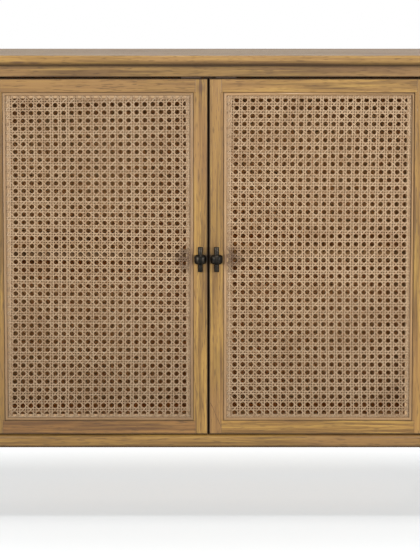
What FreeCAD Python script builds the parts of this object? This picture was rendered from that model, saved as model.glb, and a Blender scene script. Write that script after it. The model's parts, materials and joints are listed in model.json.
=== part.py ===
import FreeCAD, Part
import math
import os
import re
import Sketcher

# A record cabinet: a post-and-rail case on tapered legs, with two inset cane doors on butt hinges.
# The origin is on the floor in the middle of the outline, +X is to the right, the doors face -Y
# and +Z is up. All sizes are millimetres.

doc = FreeCAD.newDocument("record_cabinet")

# Driving sizes, each written once
sizes = {
    # top board
    "top_thick": 20, "top_front_lap": 10, "top_side_lap": 11, "top_back_lap": 10,
    "top_corner": 10, "top_nose": 8, "top_arris": 1.5,
    # posts and rails of the case
    "case_depth": 430, "post_width": 45, "post_depth": 45, "post_round": 3,
    "front_top_rail": 22, "front_bottom_rail": 26, "rail_roll": 6, "back_top_rail": 45, "back_rail_depth": 30,
    "side_top_rail": 50, "side_bottom_rail": 60, "side_rail_thick": 22, "side_inset": 5,
    # side panels, bottom board and back
    "panel_thick": 10, "groove_depth": 8, "groove_fit": 0.1, "panel_slack": 1,
    "board_thick": 16, "board_rebate": 10, "back_thick": 6, "back_rebate": 10, "back_slack": 0.5,
    # partition and shelves
    "partition_thick": 18, "partition_gap": 4, "shelf_thick": 18, "shelf_height": 345,
    "shelf_slack": 1, "shelf_front_gap": 8, "shelf_back_gap": 1, "shelf_pin_row": 38,
    "shelf_pin_dia": 5, "shelf_pin_length": 16, "shelf_pin_depth": 8, "shelf_pin_fit": 0.05,
    # legs
    "leg_height": 140, "leg_top": 33, "leg_foot": 24, "leg_splay": 13, "leg_inset": 3, "leg_chamfer": 3,
    "leg_bolt_dia": 8, "leg_bolt_length": 60, "leg_bolt_fit": 0.1, "glide_dia": 18, "glide_thick": 4,
    # doors
    "door_width": 430, "door_height": 704, "door_thick": 22,
    "meeting_gap": 3.5, "door_top_gap": 3.5, "door_bottom_gap": 2,
    "stile_width": 42.5, "door_rail_width": 39, "rebate_width": 14.5, "rail_rebate": 12, "rebate_depth": 4.5,
    "shoulder_lap": 4.5, "tenon_length": 15.5, "tenon_thick": 6, "tenon_height": 28, "tenon_fit": 0.1,
    "bead_width": 6, "bead_sink": 0.3, "bead_round": 2.4,
    "cane_thick": 1.6, "cane_slack": 0.5, "cane_pitch": 52, "cane_strand": 24,
    # hinges
    "hinge_height": 50, "hinge_leaf": 0.9, "leaf_gap": 0.4, "hinge_reach": 19, "hinge_inset": 80,
    "barrel_dia": 6, "barrel_clear": 0.3, "knuckle_gap": 0.2, "hinge_pin_dia": 3, "hinge_pin_fit": 0.05,
    "leaf_screw_row": 11, "leaf_screw_inset": 12,
    # small flat-headed screws
    "screw_dia": 3, "screw_head_dia": 6, "screw_head": 0.5, "screw_length": 14, "screw_fit": 0.1,
    "catch_screw_bite": 12, "catch_screw_edge": 4, "strike_screw_length": 8,
    # knobs
    "bar_dia": 10, "bar_length": 49, "collar_dia": 24, "collar_height": 19,
    "collar_chamfer": 4, "knob_stand": 8.5, "knob_height": 351, "knob_edge": 14.25,
    "stem_dia": 11, "spigot_dia": 7, "spigot_length": 6,
    "spigot_fit": 0.05, "knob_screw_dia": 4, "knob_screw_head_dia": 8, "knob_screw_head": 2.4,
    "knob_screw_grip": 7, "knob_screw_fit": 0.1,
    # magnetic catches
    "catch_width": 40, "catch_depth": 20, "catch_height": 16, "catch_from_middle": 14, "catch_gap": 0.2,
    "magnet_width": 24, "magnet_height": 8, "magnet_depth": 12, "magnet_lip": 1, "magnet_fit": 0.1,
    "strike_width": 30, "strike_height": 10, "strike_thick": 1,
}

# Places worked out from the driving sizes
places = {
    "front": "(knob_stand + collar_dia - case_depth - top_back_lap) / 2",
    "back": "front + case_depth",
    "hinge_gap": "2 * hinge_leaf + leaf_gap",
    "door_in": "meeting_gap / 2",
    "door_out": "door_in + door_width",
    "post_in": "door_out + hinge_gap",
    "post_out": "post_in + post_width",
    "board_top": "leg_height + front_bottom_rail",
    "door_bottom": "board_top + door_bottom_gap",
    "door_top": "door_bottom + door_height",
    "rail_under": "door_top + door_top_gap",
    "case_top": "rail_under + front_top_rail",
    "door_back": "front + door_thick",
    "ledge": "front + rebate_depth",
    "stile_face": "stile_width - rebate_width",
    "rail_face": "door_rail_width - rail_rebate",
    "panel_x": "post_out - side_inset - (side_rail_thick + panel_thick) / 2",
    "panel_bottom": "leg_height + side_bottom_rail - groove_depth",
    "panel_top": "case_top - side_top_rail + groove_depth",
    "shelf_under": "board_top + shelf_height",
    "foot_out": "post_out - leg_inset + leg_splay",
    "foot_front": "front + leg_inset - leg_splay",
    "axis_x": "post_in - hinge_gap / 2",
    "axis_y": "front - barrel_dia / 2 - barrel_clear",
    "leaf_start": "axis_y + barrel_dia / 2 + knuckle_gap",
    "lower_hinge": "door_bottom + hinge_inset",
    "upper_hinge": "door_top - hinge_inset - hinge_height",
    "knuckle": "(hinge_height - knuckle_gap) / 2",
    "knob_x": "door_in + knob_edge",
    "knob_z": "door_bottom + knob_height",
    "knob_axis": "front - knob_stand - collar_dia / 2",
    "catch_front": "door_back + strike_thick + catch_gap",
    "catch_under": "rail_under - catch_height",
    "strike_x": "catch_from_middle + (catch_width - strike_width) / 2",
}


def add_sheet(name, cells):
    sheet = doc.addObject("Spreadsheet::Sheet", name)
    for row, (alias, content) in enumerate(cells.items(), start=1):
        sheet.set(f"A{row}", alias)
        sheet.set(f"B{row}", content)
        sheet.setAlias(f"B{row}", alias)
    return sheet


def sheet_names(formula, tables):
    # puts the sheet's name before each alias in a formula
    def with_sheet(word):
        for name, table in tables.items():
            if word.group() in table:
                return f"{name}.{word.group()}"
        return word.group()
    return re.sub(r"[a-z]\w*", with_sheet, formula)


size = add_sheet("size", {alias: str(value) for alias, value in sizes.items()})
place = add_sheet("place", {alias: "=" + sheet_names(formula, {"size": sizes})
                            for alias, formula in places.items()})
doc.recompute()

position = {"x": "Placement.Base.x", "y": "Placement.Base.y", "z": "Placement.Base.z"}
ways = {
    "x": FreeCAD.Rotation(FreeCAD.Vector(0, 1, 0), 90),
    "-x": FreeCAD.Rotation(FreeCAD.Vector(0, 1, 0), -90),
    "y": FreeCAD.Rotation(FreeCAD.Vector(1, 0, 0), -90),
    "-y": FreeCAD.Rotation(FreeCAD.Vector(1, 0, 0), 90),
    "z": FreeCAD.Rotation(),
}
nodes = []


def bind(piece, **formulas):
    for name, formula in formulas.items():
        tied = sheet_names(formula, {"size": sizes, "place": places})
        piece.setExpression(position.get(name, name), tied)
    return piece


def block(label, x, y, z, length, width, height):
    piece = doc.addObject("Part::Box", label)
    return bind(piece, x=x, y=y, z=z, Length=length, Width=width, Height=height)


def bar(label, x, y, z, way, sides, dia, length):
    # a small round thing with few faces: a regular prism of the given width across its corners
    piece = doc.addObject("Part::Prism", label)
    piece.Polygon = sides
    piece.Placement = FreeCAD.Placement(FreeCAD.Vector(), ways[way])
    return bind(piece, x=x, y=y, z=z, Circumradius=f"({dia}) / 2", Height=length)


def join(label, *pieces):
    piece = doc.addObject("Part::MultiFuse", label)
    piece.Shapes = list(pieces)
    piece.Refine = True
    return piece


def cut(label, base, *tools):
    piece = doc.addObject("Part::Cut", label)
    piece.Base = base
    piece.Tool = tools[0] if len(tools) == 1 else join(label + "_tools", *tools)
    return piece


def group(label, *pieces):
    piece = doc.addObject("Part::Compound", label)
    piece.Links = list(pieces)
    return piece


def mirrored(label, source, normal=(1, 0, 0)):
    twin = doc.addObject("Part::Mirroring", label)
    twin.Source = source
    twin.Normal = FreeCAD.Vector(*normal)
    return twin


def node(piece, label):
    piece.Label = label
    nodes.append(piece)
    return piece


def pair(piece, name):
    # the right-hand piece and its mirror image on the left
    node(piece, "right_" + name)
    return node(mirrored(name + "_twin", piece), "left_" + name)


def eased(label, kind, base, amount, wanted):
    # rounds or chamfers the edges of base that pass the test, by an amount from the sheet
    doc.recompute()
    piece = doc.addObject(kind, label)
    piece.Base = base
    piece.Edges = [(number, size.get(amount), size.get(amount))
                   for number, edge in enumerate(base.Shape.Edges, start=1) if wanted(edge)]
    return piece


def upright(edge):
    # an edge of a post or leg that runs mainly along Z
    run = edge.Vertexes[-1].Point - edge.Vertexes[0].Point
    return abs(run.z) > 0.9 * run.Length


def screw(label, x, y, z, way, slack="0", length="screw_length"):
    # a screw whose flat head lies flush at the given point, or its stepped hole with some slack
    sides = 6
    head = bar(label + "_head", x, y, z, way, sides, f"screw_head_dia + 2 * {slack}", "screw_head")
    shank = bar(label + "_shank", x, y, z, way, sides, f"screw_dia + 2 * {slack}", f"{length} + {slack}")
    return join(label, head, shank)


def outline(body, role, corners):
    # a closed outline on one of the body's origin planes, every corner tied to the sheet
    sketch = body.newObject("Sketcher::SketchObject", body.Name + "_outline")
    sketch.AttachmentSupport = [(next(f for f in body.Origin.OriginFeatures if f.Role == role), "")]
    sketch.MapMode = "FlatFace"
    count = len(corners)
    spread = [FreeCAD.Vector(50 + 40 * math.cos(2 * math.pi * i / count),
                             50 + 40 * math.sin(2 * math.pi * i / count), 0) for i in range(count)]
    for i in range(count):
        sketch.addGeometry(Part.LineSegment(spread[i], spread[(i + 1) % count]), False)
    for i in range(count):
        sketch.addConstraint(Sketcher.Constraint("Coincident", i, 2, (i + 1) % count, 1))
    for i, (across, up) in enumerate(corners):
        for kind, formula, axis in (("DistanceX", across, -2), ("DistanceY", up, -1)):
            if formula == "0":
                sketch.addConstraint(Sketcher.Constraint("PointOnObject", i, 1, axis))
            else:
                tie = sketch.addConstraint(Sketcher.Constraint(kind, -1, 1, i, 1, 50.0))
                bind(sketch, **{f"Constraints[{tie}]": formula})
    return sketch


def turned(label, corners):
    # a turned piece: its half outline, as radius and height, revolved about Z
    body = doc.addObject("PartDesign::Body", label)
    sketch = outline(body, "XZ_Plane", corners)
    turn = body.newObject("PartDesign::Revolution", label + "_turn")
    turn.Profile = sketch
    turn.ReferenceAxis = (sketch, ["V_Axis"])
    turn.Angle = 360
    return body


def dressed(body, kind, base, label, amount, wanted):
    # rounds or chamfers the edges of a body's last feature that pass the test
    doc.recompute()
    feature = body.newObject(kind, label)
    feature.Base = (base, [f"Edge{number}" for number, edge in enumerate(base.Shape.Edges, start=1)
                           if wanted(edge)])
    return bind(feature, **amount)


# Top board, bullnosed all round
top = doc.addObject("PartDesign::Body", "top_board")
top_width = "2 * (post_out + top_side_lap)"
top_depth = "case_depth + top_front_lap + top_back_lap"
top_pad = top.newObject("PartDesign::Pad", "top_pad")
top_outline = [("0", "0"), (top_width, "0"), (top_width, top_depth), ("0", top_depth)]
top_pad.Profile = outline(top, "XY_Plane", top_outline)
bind(top_pad, Length="top_thick")
near = 0.001
top_corners = dressed(top, "PartDesign::Fillet", top_pad, "top_corners", {"Radius": "top_corner"}, upright)
top_nose = dressed(top, "PartDesign::Fillet", top_corners, "top_nose", {"Radius": "top_nose"},
                   lambda edge: edge.BoundBox.ZMax < near)
dressed(top, "PartDesign::Chamfer", top_nose, "top_arris", {"Size": "top_arris"},
        lambda edge: edge.BoundBox.ZMin > size.get("top_thick") - near)
bind(top, x="-(post_out + top_side_lap)", y="front - top_front_lap", z="case_top")
node(top, "top_board")

# Hinges of the right-hand door: two lift-off butt hinges whose leaves lie in the gap beside the door
leaf_depth = "front + hinge_reach - leaf_start"
barrel_sides = 16
# the flats of the bore clear the corners of the pin all the way round
bore_dia = f"(hinge_pin_dia + 2 * hinge_pin_fit) / cos(180 / {barrel_sides})"
post_leaves = []
door_leaves = []
hinge_pins = []
post_leaf_screws = []
door_leaf_screws = []
post_screw_holes = []
door_screw_holes = []
for name, foot in (("lower", "lower_hinge"), ("upper", "upper_hinge")):
    # the case leaf has the lower knuckle and the door leaf the upper one, which lifts off the pin
    knuckles = {"post": foot, "door": f"{foot} + (hinge_height + knuckle_gap) / 2"}
    bore = bar(f"{name}_bore", "axis_x", "axis_y", foot, "z", barrel_sides, bore_dia, "hinge_height")
    for side, leaf_x, screw_x, way in (("post", "post_in - hinge_leaf", "post_in - hinge_leaf", "x"),
                                       ("door", "door_out", "door_out + hinge_leaf", "-x")):
        barrel = bar(f"{name}_{side}_barrel", "axis_x", "axis_y", knuckles[side], "z", barrel_sides,
                     "barrel_dia", "knuckle")
        neck = block(f"{name}_{side}_neck", leaf_x, "axis_y", knuckles[side],
                     "hinge_leaf", "leaf_start - axis_y", "knuckle")
        plate = block(f"{name}_{side}_plate", leaf_x, "leaf_start", foot,
                      "hinge_leaf", leaf_depth, "hinge_height")
        holes = []
        screws = []
        for rise in ("leaf_screw_inset", "hinge_height - leaf_screw_inset"):
            spot = (screw_x, "front + leaf_screw_row", f"{foot} + {rise}", way)
            screws.append(screw(f"{name}_{side}_screw", *spot))
            holes.append(screw(f"{name}_{side}_hole", *spot, slack="screw_fit"))
        leaf = cut(f"{name}_{side}_leaf", join(f"{name}_{side}_stock", plate, neck, barrel), bore, *holes)
        (post_leaves if side == "post" else door_leaves).append(leaf)
        (post_leaf_screws if side == "post" else door_leaf_screws).extend(screws)
        (post_screw_holes if side == "post" else door_screw_holes).extend(holes)
    hinge_pins.append(bar(f"{name}_hinge_pin", "axis_x", "axis_y", foot, "z", barrel_sides,
                          "hinge_pin_dia", "hinge_height"))
pair(group("post_hinge_leaves", *post_leaves), "post_hinge_leaves")
right_pins = group("right_pins", *hinge_pins)
node(group("hinge_pins", right_pins, mirrored("left_pins", right_pins)), "hinge_pins")

# Posts, grooved for the side panels and drilled for leg bolts, shelf pins and screws
post_height = "case_top - leg_height"
groove_width = "panel_thick + 2 * groove_fit"
pin_sides = 8
bolt_sides = 8
pin_z = "shelf_under - shelf_pin_dia / 2 - shelf_pin_fit"
bolt_x = "post_out - leg_inset - leg_top / 2"
back_bottom = "board_top - back_rebate"
back_height = "case_top - back_top_rail - board_top + 2 * back_rebate"
back_rebate_cut = block("back_post_rebate", "post_in", "back - back_thick", back_bottom,
                        "back_rebate", "back_thick", back_height)
pin_rows = {"front": "front + shelf_pin_row", "back": "back - shelf_pin_row"}
bolt_rows = {"front": "front + leg_inset + leg_top / 2", "back": "back - leg_inset - leg_top / 2"}
for end, post_y, groove_y, extra in (
        ("front", "front", "front + post_depth - groove_depth", post_screw_holes),
        ("back", "back - post_depth", "back - post_depth", [back_rebate_cut])):
    stock = block(f"{end}_post_stock", "post_in", post_y, "leg_height",
                  "post_width", "post_depth", post_height)
    shaped = eased(f"{end}_post_eased", "Part::Fillet", stock, "post_round",
                   lambda edge: upright(edge) and edge.BoundBox.XMin > place.get("post_out") - near)
    groove = block(f"{end}_post_groove", "panel_x - groove_fit", groove_y, "panel_bottom",
                   groove_width, "groove_depth", "panel_top - panel_bottom")
    pin_hole = bar(f"{end}_post_pin_hole", "post_in", pin_rows[end], pin_z, "x", pin_sides,
                   "shelf_pin_dia + 2 * shelf_pin_fit", "shelf_pin_depth + shelf_pin_fit")
    bolt_hole = bar(f"{end}_post_bolt_hole", bolt_x, bolt_rows[end], "leg_height", "z", bolt_sides,
                    "leg_bolt_dia + 2 * leg_bolt_fit", "leg_bolt_length / 2 + leg_bolt_fit")
    pair(cut(f"{end}_post", shaped, groove, pin_hole, bolt_hole, *extra), f"{end}_post")

# Magnetic catches under the front top rail, each a screwed housing with a magnet set in its face
catch_spot = ("catch_from_middle + catch_width / 2", "catch_front + catch_depth - catch_screw_edge",
              "catch_under", "z")
catch_reach = "catch_height + catch_screw_bite"
catch_screw = screw("catch_screw", *catch_spot, length=catch_reach)
catch_hole = screw("catch_hole", *catch_spot, slack="screw_fit", length=catch_reach)
magnet_x = "catch_from_middle + (catch_width - magnet_width) / 2"
housing = block("catch_stock", "catch_from_middle", "catch_front", "catch_under",
                "catch_width", "catch_depth", "catch_height")
socket = block("magnet_socket", f"{magnet_x} - magnet_fit", "catch_front",
               "catch_under + magnet_lip - magnet_fit", "magnet_width + 2 * magnet_fit",
               "magnet_depth + magnet_fit", "magnet_height + 2 * magnet_fit")
magnet = block("magnet", magnet_x, "catch_front", "catch_under + magnet_lip",
               "magnet_width", "magnet_depth", "magnet_height")
right_catch = cut("right_catch", housing, socket, catch_hole)
node(group("catch_housings", right_catch, mirrored("left_catch", right_catch)), "catch_housings")
node(group("catch_magnets", magnet, mirrored("left_magnet", magnet)), "catch_magnets")

# Rails between the posts
rail_length = "2 * post_in"
top_rail = block("front_top_rail_stock", "-post_in", "front", "rail_under",
                 rail_length, "post_depth", "front_top_rail")
node(cut("front_top_rail", top_rail, catch_hole, mirrored("left_catch_hole", catch_hole)), "front_top_rail")
bottom_rail = block("front_bottom_rail_stock", "-post_in", "front", "leg_height",
                    rail_length, "post_depth", "front_bottom_rail")
board_under = "board_top - board_thick"
front_seat = block("front_board_seat", "-post_in", "front + post_depth - board_rebate", board_under,
                   rail_length, "board_rebate", "board_thick")
rolled_rail = eased("front_bottom_rail_rolled", "Part::Fillet", bottom_rail, "rail_roll",
                    lambda edge: edge.BoundBox.YMax < place.get("front") + near
                    and edge.Length > size.get("door_width"))
node(cut("front_bottom_rail", rolled_rail, front_seat), "front_bottom_rail")
back_rail_y = "back - back_rail_depth"
back_rail_z = "case_top - back_top_rail"
node(cut("back_top_rail",
         block("back_top_rail_stock", "-post_in", back_rail_y, back_rail_z,
               rail_length, "back_rail_depth", "back_top_rail"),
         block("back_top_rail_rebate", "-post_in", "back - back_thick", back_rail_z,
               rail_length, "back_thick", "back_rebate")), "back_top_rail")
node(cut("back_bottom_rail",
         block("back_bottom_rail_stock", "-post_in", back_rail_y, "leg_height",
               rail_length, "back_rail_depth", "front_bottom_rail"),
         block("back_board_seat", "-post_in", back_rail_y, board_under,
               rail_length, "board_rebate", "board_thick"),
         block("back_bottom_rail_rebate", "-post_in", "back - back_thick", back_bottom,
               rail_length, "back_thick", "back_rebate")), "back_bottom_rail")

# Side frames: grooved rails round a flat panel
side_in = "post_out - side_inset - side_rail_thick"
side_y = "front + post_depth"
side_length = "case_depth - 2 * post_depth"
for end, rail_z, rail_height, groove_z in (
        ("top", "case_top - side_top_rail", "side_top_rail", "case_top - side_top_rail"),
        ("bottom", "leg_height", "side_bottom_rail", "panel_bottom")):
    pair(cut(f"side_{end}_rail",
             block(f"side_{end}_rail_stock", side_in, side_y, rail_z,
                   "side_rail_thick", side_length, rail_height),
             block(f"side_{end}_rail_groove", "panel_x - groove_fit", side_y, groove_z,
                   groove_width, side_length, "groove_depth")), f"side_{end}_rail")
pair(block("side_panel", "panel_x", f"{side_y} - groove_depth + panel_slack", "panel_bottom + panel_slack",
           "panel_thick", f"{side_length} + 2 * (groove_depth - panel_slack)",
           "panel_top - panel_bottom - 2 * panel_slack"), "side_panel")

# Bottom board, dropped into the rebates of the front and back rails
node(join("bottom_board",
          block("board_middle", "-post_in", f"{side_y} - board_rebate", board_under, rail_length,
                "case_depth - post_depth - back_rail_depth + 2 * board_rebate", "board_thick"),
          block("board_ends", f"-({side_in})", side_y, board_under, f"2 * ({side_in})",
                side_length, "board_thick")), "bottom_board")

# Back panel, let into the rebates of the back posts and rails
node(block("back_panel", "-(post_in + back_rebate - back_slack)", "back - back_thick",
           f"{back_bottom} + back_slack", "2 * (post_in + back_rebate - back_slack)", "back_thick",
           f"{back_height} - 2 * back_slack"), "back_panel")

# Partition, notched round the top rails, with a shelf on pins at each side
partition_front = "door_back + partition_gap"
pin_holes = []
pins = []
for end, pin_y in pin_rows.items():
    hole_x = "partition_thick / 2 - shelf_pin_depth - shelf_pin_fit"
    pin_holes.append(bar(f"{end}_partition_pin_hole", hole_x, pin_y, pin_z, "x", pin_sides,
                         "shelf_pin_dia + 2 * shelf_pin_fit", "shelf_pin_depth + shelf_pin_fit"))
    for name, pin_x in (("post", "post_in + shelf_pin_depth - shelf_pin_length"),
                        ("partition", "partition_thick / 2 - shelf_pin_depth")):
        pins.append(bar(f"{end}_{name}_pin", pin_x, pin_y, pin_z, "x", pin_sides,
                        "shelf_pin_dia", "shelf_pin_length"))
right_pin_holes = group("right_pin_holes", *pin_holes)
node(cut("centre_partition",
         block("partition_stock", "-partition_thick / 2", partition_front, "board_top", "partition_thick",
               "case_depth - door_thick - partition_gap - back_thick", "case_top - board_top"),
         block("partition_front_notch", "-partition_thick / 2", partition_front, "rail_under",
               "partition_thick", "post_depth - door_thick - partition_gap", "front_top_rail"),
         block("partition_back_notch", "-partition_thick / 2", back_rail_y, back_rail_z, "partition_thick",
               "back_rail_depth - back_thick", "back_top_rail"),
         right_pin_holes, mirrored("left_pin_holes", right_pin_holes)), "centre_partition")
pair(block("shelf", "partition_thick / 2 + shelf_slack", "door_back + shelf_front_gap", "shelf_under",
           "post_in - partition_thick / 2 - 2 * shelf_slack",
           "case_depth - door_thick - shelf_front_gap - back_thick - shelf_back_gap", "shelf_thick"), "shelf")
right_shelf_pins = group("right_shelf_pins", *pins)
node(group("shelf_pins", right_shelf_pins, mirrored("left_shelf_pins", right_shelf_pins)), "shelf_pins")

# Legs: tapered and splayed outwards, each hung on a bolt and standing on a glide
leg_stock = doc.addObject("Part::Wedge", "leg_stock")
leg_stock.Placement = FreeCAD.Placement(FreeCAD.Vector(), ways["-y"])
bind(leg_stock, Ymin="glide_thick", Ymax="leg_height",
     Xmin="foot_out - leg_foot", Xmax="foot_out", Zmin="-foot_front - leg_foot", Zmax="-foot_front",
     X2min="post_out - leg_inset - leg_top", X2max="post_out - leg_inset",
     Z2min="-front - leg_inset - leg_top", Z2max="-front - leg_inset")
bolt_foot = "leg_height - leg_bolt_length / 2"
leg_bolt_hole = bar("leg_bolt_hole", bolt_x, bolt_rows["front"], f"{bolt_foot} - leg_bolt_fit", "z",
                    bolt_sides, "leg_bolt_dia + 2 * leg_bolt_fit", "leg_bolt_length / 2 + leg_bolt_fit")
leg_eased = eased("leg_eased", "Part::Chamfer", leg_stock, "leg_chamfer", upright)
front_leg = cut("front_leg", leg_eased, leg_bolt_hole)
front_bolt = bar("leg_bolt", bolt_x, bolt_rows["front"], bolt_foot, "z", bolt_sides,
                 "leg_bolt_dia", "leg_bolt_length")
glide_sides = 12
front_glide = bar("glide", "foot_out - leg_foot / 2", "foot_front + leg_foot / 2", "0", "z", glide_sides,
                  "glide_dia", "glide_thick")


def back_twin(label, source):
    # the same piece at the back of the case
    twin = mirrored(label, source, (0, 1, 0))
    return bind(twin, **{"Base.y": "(front + back) / 2"})


pair(front_leg, "front_leg")
pair(back_twin("back_leg", front_leg), "back_leg")
for name, piece in (("leg_bolts", front_bolt), ("foot_glides", front_glide)):
    right_two = group(f"right_{name}", piece, back_twin(f"back_{name}", piece))
    node(group(name, right_two, mirrored(f"left_{name}", right_two)), name)

# Door frame: full-height stiles and tenoned rails, rebated on the front for the cane.
# The front of each rail runs on over the stile's ledge, past the ledge's own width.
tenon_y = "ledge + (door_thick - rebate_depth - tenon_thick) / 2"
tenon_end = "stile_width - tenon_length + tenon_fit"
shoulder = "stile_face - shoulder_lap"
stile_cuts = [block("stile_rebate", "door_in + stile_face", "front", "door_bottom",
                    "rebate_width", "rebate_depth", "door_height")]
for end, face_z, ledge_z, tenon_z in (
        ("bottom", "door_bottom", "door_bottom", "door_bottom + (door_rail_width - tenon_height) / 2"),
        ("top", "door_top - rail_face", "door_top - door_rail_width",
         "door_top - (door_rail_width + tenon_height) / 2")):
    stile_cuts.append(block(f"stile_{end}_lap", f"door_in + {shoulder}", "front", face_z,
                            "shoulder_lap + rebate_width", "rebate_depth", "rail_face"))
    stile_cuts.append(block(f"stile_{end}_mortise", "door_in + stile_width - tenon_length",
                            f"{tenon_y} - tenon_fit", f"{tenon_z} - tenon_fit", "tenon_length",
                            "tenon_thick + 2 * tenon_fit", "tenon_height + 2 * tenon_fit"))
    pair(join(f"door_{end}_rail",
              block(f"{end}_rail_face", f"door_in + {shoulder}", "front", face_z,
                    f"door_width - 2 * ({shoulder})", "rebate_depth", "rail_face"),
              block(f"{end}_rail_ledge", "door_in + stile_width", "ledge", ledge_z,
                    "door_width - 2 * stile_width", "door_thick - rebate_depth", "door_rail_width"),
              block(f"{end}_rail_tenons", f"door_in + {tenon_end}", tenon_y, tenon_z,
                    f"door_width - 2 * ({tenon_end})", "tenon_thick", "tenon_height")),
         f"door_{end}_rail")
bare_stile = cut("bare_stile", block("stile_stock", "door_in", "front", "door_bottom",
                                     "stile_width", "door_thick", "door_height"), *stile_cuts)
strike_mid = "catch_under + strike_height / 2"
strike_spot = ("strike_x + screw_head_dia", "door_back + strike_thick", strike_mid, "-y")
strike_hole = screw("strike_hole", *strike_spot, slack="screw_fit", length="strike_screw_length")
knob_screw_sides = 8
knob_hole = bar("knob_hole", "knob_x", "door_back", "knob_z", "-y", knob_screw_sides,
                "knob_screw_dia + 2 * knob_screw_fit", "door_thick + knob_screw_grip + knob_screw_fit")
pair(cut("meeting_stile", bare_stile, knob_hole, strike_hole), "door_meeting_stile")
far_stile = bind(mirrored("far_stile", bare_stile), **{"Base.x": "(door_in + door_out) / 2"})
pair(cut("hinge_stile", far_stile, *door_screw_holes), "door_hinge_stile")
pair(group("door_hinge_leaves", *door_leaves), "door_hinge_leaves")

# Strike plates for the magnets, on the backs of the doors
strike = block("strike_stock", "strike_x", "door_back", "catch_under",
               "strike_width", "strike_thick", "strike_height")
pair(cut("strike_plate", strike, strike_hole), "strike_plate")
strike_screw = screw("strike_screw", *strike_spot, length="strike_screw_length")
pair(group("door_screws", *door_leaf_screws, strike_screw), "door_screws")
right_case_screws = group("right_case_screws", *post_leaf_screws, catch_screw)
node(group("case_screws", right_case_screws, mirrored("left_case_screws", right_case_screws)), "case_screws")

# Cane held on the ledge by four mitred beads with rounded faces
bead_depth = "rebate_depth - cane_thick - bead_sink"
field_width = "door_width - 2 * stile_face"
field_height = "door_height - 2 * rail_face"
beads = []
for name, turn, bead_x, bead_z, length in (
        ("bottom", 0, "door_in + stile_face", "door_bottom + rail_face", field_width),
        ("meeting", 90, "door_in + stile_face", "door_top - rail_face", field_height),
        ("top", 180, "door_out - stile_face", "door_top - rail_face", field_width),
        ("hinge", -90, "door_out - stile_face", "door_bottom + rail_face", field_height)):
    stick = doc.addObject("Part::Wedge", f"{name}_bead_stock")
    across = FreeCAD.Rotation(FreeCAD.Vector(0, 1, 0), turn)
    stick.Placement = FreeCAD.Placement(FreeCAD.Vector(), across.multiply(ways["-y"]))
    bind(stick, x=bead_x, y="ledge - cane_thick", z=bead_z,
         Xmin="0", Xmax=length, X2min="bead_width", X2max=f"{length} - bead_width",
         Ymin="0", Ymax="bead_width", Zmin="0", Zmax=bead_depth, Z2min="0", Z2max=bead_depth)
    beads.append(eased(f"{name}_bead", "Part::Fillet", stick, "bead_round",
                       lambda edge: edge.BoundBox.YMax < place.get("front") + size.get("bead_sink") + near
                       and edge.Length > 2 * size.get("bead_width")))
pair(group("door_beads", *beads), "door_beads")


def cane_sheet(label):
    # one sheet with the octagonal gaps of six-way cane, as many as the opening between the beads holds
    doc.recompute()
    left = place.get("door_in") + place.get("stile_face") + size.get("cane_slack")
    right = place.get("door_out") - place.get("stile_face") - size.get("cane_slack")
    low = place.get("door_bottom") + place.get("rail_face") + size.get("cane_slack")
    high = place.get("door_top") - place.get("rail_face") - size.get("cane_slack")
    hidden = size.get("bead_width") - size.get("cane_slack")
    y = place.get("ledge") - size.get("cane_thick")
    pitch = size.get("cane_pitch")
    hole = pitch - size.get("cane_strand")
    columns = 1 + math.floor((right - left - 2 * hidden - hole) / pitch)
    rows = 1 + math.floor((high - low - 2 * hidden - hole) / pitch)
    reach = hole / 2 / math.cos(math.pi / 8)
    turns = [math.pi / 8 + math.pi / 4 * corner for corner in range(9)]
    rim = ((left, low), (right, low), (right, high), (left, high), (left, low))
    wires = [Part.makePolygon([FreeCAD.Vector(x, y, z) for x, z in rim])]
    for column in range(columns):
        for row in range(rows):
            x = (left + right) / 2 + (column - (columns - 1) / 2) * pitch
            z = (low + high) / 2 + (row - (rows - 1) / 2) * pitch
            wires.append(Part.makePolygon([
                FreeCAD.Vector(x + reach * math.cos(turn), y, z + reach * math.sin(turn)) for turn in turns]))
    face = Part.makeFace(Part.makeCompound(wires), "Part::FaceMakerBullseye")
    sheet = doc.addObject("Part::Feature", label)
    sheet.Shape = face.extrude(FreeCAD.Vector(0, size.get("cane_thick"), 0))
    print(label, columns, "by", rows, "gaps")
    return sheet


pair(cane_sheet("cane_sheet"), "cane_panel")

# Knobs: a turned upright bar with a collar, on a stem screwed through the meeting stile
collar_foot = "(bar_length - collar_height) / 2"
collar_head = "(bar_length + collar_height) / 2"
spindle = turned("spindle", [
    ("0", "0"), ("bar_dia / 2", "0"), ("bar_dia / 2", collar_foot),
    ("collar_dia / 2 - collar_chamfer", collar_foot), ("collar_dia / 2", f"{collar_foot} + collar_chamfer"),
    ("collar_dia / 2", f"{collar_head} - collar_chamfer"), ("collar_dia / 2 - collar_chamfer", collar_head),
    ("bar_dia / 2", collar_head), ("bar_dia / 2", "bar_length"), ("0", "bar_length")])
bind(spindle, x="knob_x", y="knob_axis", z="knob_z - bar_length / 2")
stem_sides = 12
spigot_hole = bar("spigot_hole", "knob_x", "front", "knob_z", "-y", stem_sides,
                  "spigot_dia + 2 * spigot_fit", "knob_stand + spigot_length + spigot_fit")
pair(cut("knob_bar", spindle, spigot_hole), "knob_bar")
stem = join("stem",
            bar("stem_neck", "knob_x", "front", "knob_z", "-y", stem_sides, "stem_dia", "knob_stand"),
            bar("stem_spigot", "knob_x", "front", "knob_z", "-y", stem_sides,
                "spigot_dia", "knob_stand + spigot_length"))
pair(cut("knob_stem", stem, knob_hole), "knob_stem")
pair(join("knob_screw",
          bar("knob_screw_shank", "knob_x", "door_back", "knob_z", "-y", knob_screw_sides,
              "knob_screw_dia", "door_thick + knob_screw_grip"),
          bar("knob_screw_head", "knob_x", "door_back", "knob_z", "y", knob_screw_sides,
              "knob_screw_head_dia", "knob_screw_head")), "knob_screw")

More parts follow.
